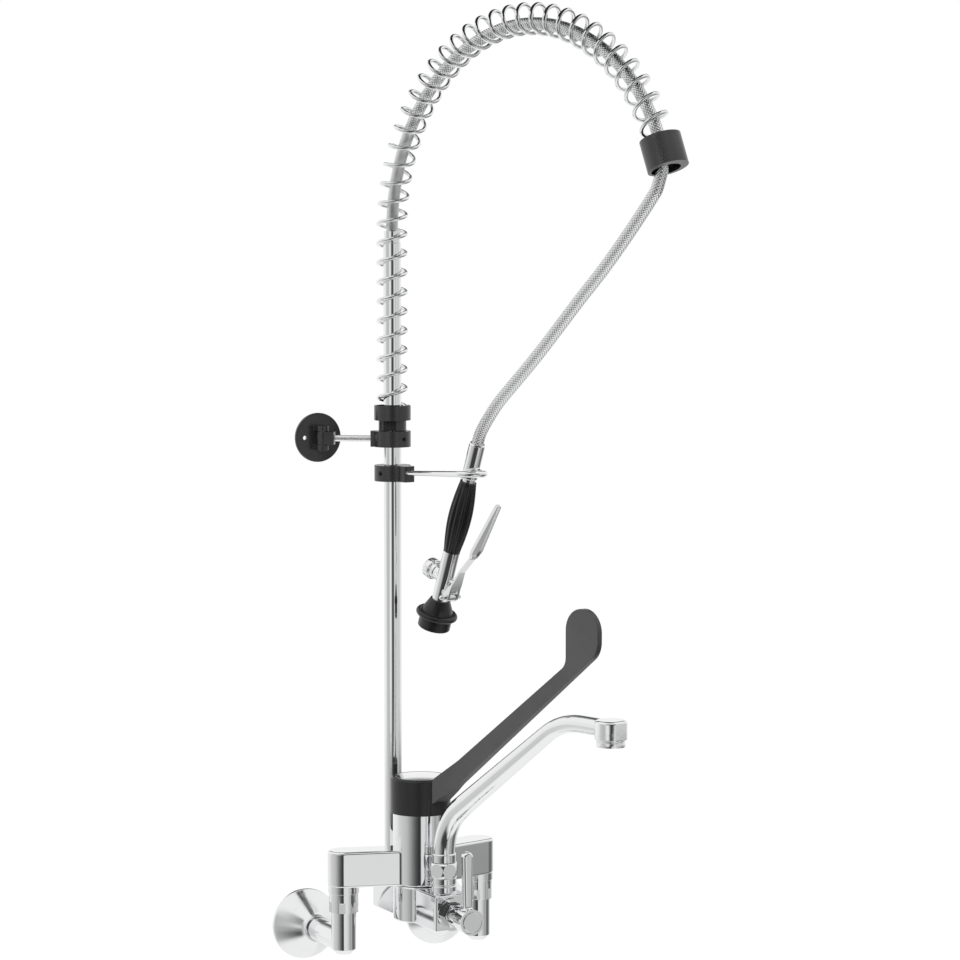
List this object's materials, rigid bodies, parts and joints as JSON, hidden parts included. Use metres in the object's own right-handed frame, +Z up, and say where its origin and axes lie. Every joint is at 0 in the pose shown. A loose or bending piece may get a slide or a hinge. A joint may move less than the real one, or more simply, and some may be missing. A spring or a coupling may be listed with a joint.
{
  "type": "wall mounted pre-rinse mixer tap with elbow lever",
  "caption": "Wall-mounted catering mixer tap with a long elbow lever, a swivel spout and a sprung arch that carries a hose and trigger spray gun.",
  "frame": {"origin": "on the wall face, midway between the axes of the two inlets", "axes": "+X to the right as the user faces the wall, +Y into the wall, +Z up"},
  "size_m": [0.2263, 0.4708, 0.961],
  "materials": {
    "chrome": "polished chrome plate",
    "spring_steel": "bright spring wire",
    "satin_steel": "satin",
    "braided_steel": "braided",
    "lever_plastic": "fine grained",
    "black_plastic": "moulded",
    "black_steel": "blackened",
    "dark_plastic": "moulded",
    "black_rubber": "matt",
    "fibre": "pressed fibre",
    "white_resin": "moulded"
  },
  "bodies": {
    "fixed": {"wall_flange_left": "chrome", "wall_flange_right": "chrome", "inlet_elbow_left": "chrome", "inlet_elbow_right": "chrome", "union_nut_left": "chrome", "union_nut_right": "chrome", "union_gaskets": "fibre", "check_valves": "white_resin", "mixer_body": "chrome", "cartridge": "white_resin", "cartridge_shroud": "chrome", "outlet_manifold": "chrome", "manifold_seal": "black_rubber", "spout_socket": "chrome", "spout_nut": "chrome", "diverter_bonnet": "chrome", "riser_nut": "chrome", "riser_pipe": "chrome", "hose_coupling": "chrome", "hose_arch": "braided_steel", "spring_seat": "black_plastic", "arch_spring": "spring_steel", "spring_end_cup": "black_plastic", "hook_clamp": "black_plastic", "gun_hook": "chrome", "stay_clamp": "black_plastic", "clamp_screws": "black_steel", "stay_rod": "chrome", "stay_knuckle": "black_plastic", "free_hose": "braided_steel", "hose_ferrule": "chrome", "gun_grip": "black_plastic", "gun_valve_body": "chrome", "gun_valve_cover": "chrome", "trigger_pin": "chrome", "spray_bumper": "black_rubber", "spray_rose": "dark_plastic"},
    "lever_carrier": {"stem_carrier": "white_resin", "stem_pin": "satin_steel"},
    "lever": {"lever_stem": "satin_steel", "elbow_lever": "lever_plastic", "index_cap": "chrome"},
    "spout": {"spout": "chrome", "aerator": "chrome", "aerator_screen": "satin_steel"},
    "diverter": {"diverter_spindle": "satin_steel", "diverter_handle": "chrome", "diverter_cap": "chrome"},
    "trigger": {"gun_trigger": "satin_steel"},
    "plunger": {"gun_plunger": "satin_steel"},
    "wall_plate": {"stay_plate": "black_plastic", "stay_pin": "satin_steel"}
  },
  "joints": [
    {"name": "lever_turn", "type": "hinge", "parent": "fixed", "child": "lever_carrier", "pos_m": [0, -0.117, 0.123], "axis": [0, 0, 1], "range_deg": [-59, 31]},
    {"name": "lever_lift", "type": "hinge", "parent": "lever_carrier", "child": "lever", "pos_m": [0, -0.117, 0.123], "axis": [-0.9703, -0.2419, 0], "range_deg": [0, 25]},
    {"name": "spout_swivel", "type": "hinge", "parent": "fixed", "child": "spout", "pos_m": [0, -0.17, 0.08], "axis": [0, 0, 1], "range_deg": [-84, 56]},
    {"name": "diverter_turn", "type": "hinge", "parent": "fixed", "child": "diverter", "pos_m": [0, -0.209, 0.037], "axis": [0, 1, 0], "range_deg": [0, 90]},
    {"name": "trigger_squeeze", "type": "hinge", "parent": "fixed", "child": "trigger", "pos_m": [0.0216, -0.14065, 0.34498], "axis": [-0.9703, -0.2419, 0], "range_deg": [0, 16], "stiffness_Nm_per_rad": 2, "springref_deg": -11.46},
    {"name": "plunger_slide", "type": "slide", "parent": "fixed", "child": "plunger", "axis": [-0.2278, 0.9135, 0.3371], "range_m": [0, 0.0043]},
    {"name": "plate_swivel", "type": "hinge", "parent": "fixed", "child": "wall_plate", "pos_m": [-0.059, -0.014, 0.49809], "axis": [0, 0, 1], "range_deg": [-30, 30]}
  ],
  "couplings": [
    {"joint": "plunger_slide", "follows": "trigger_squeeze", "m_per_rad": 0.014861}
  ]
}
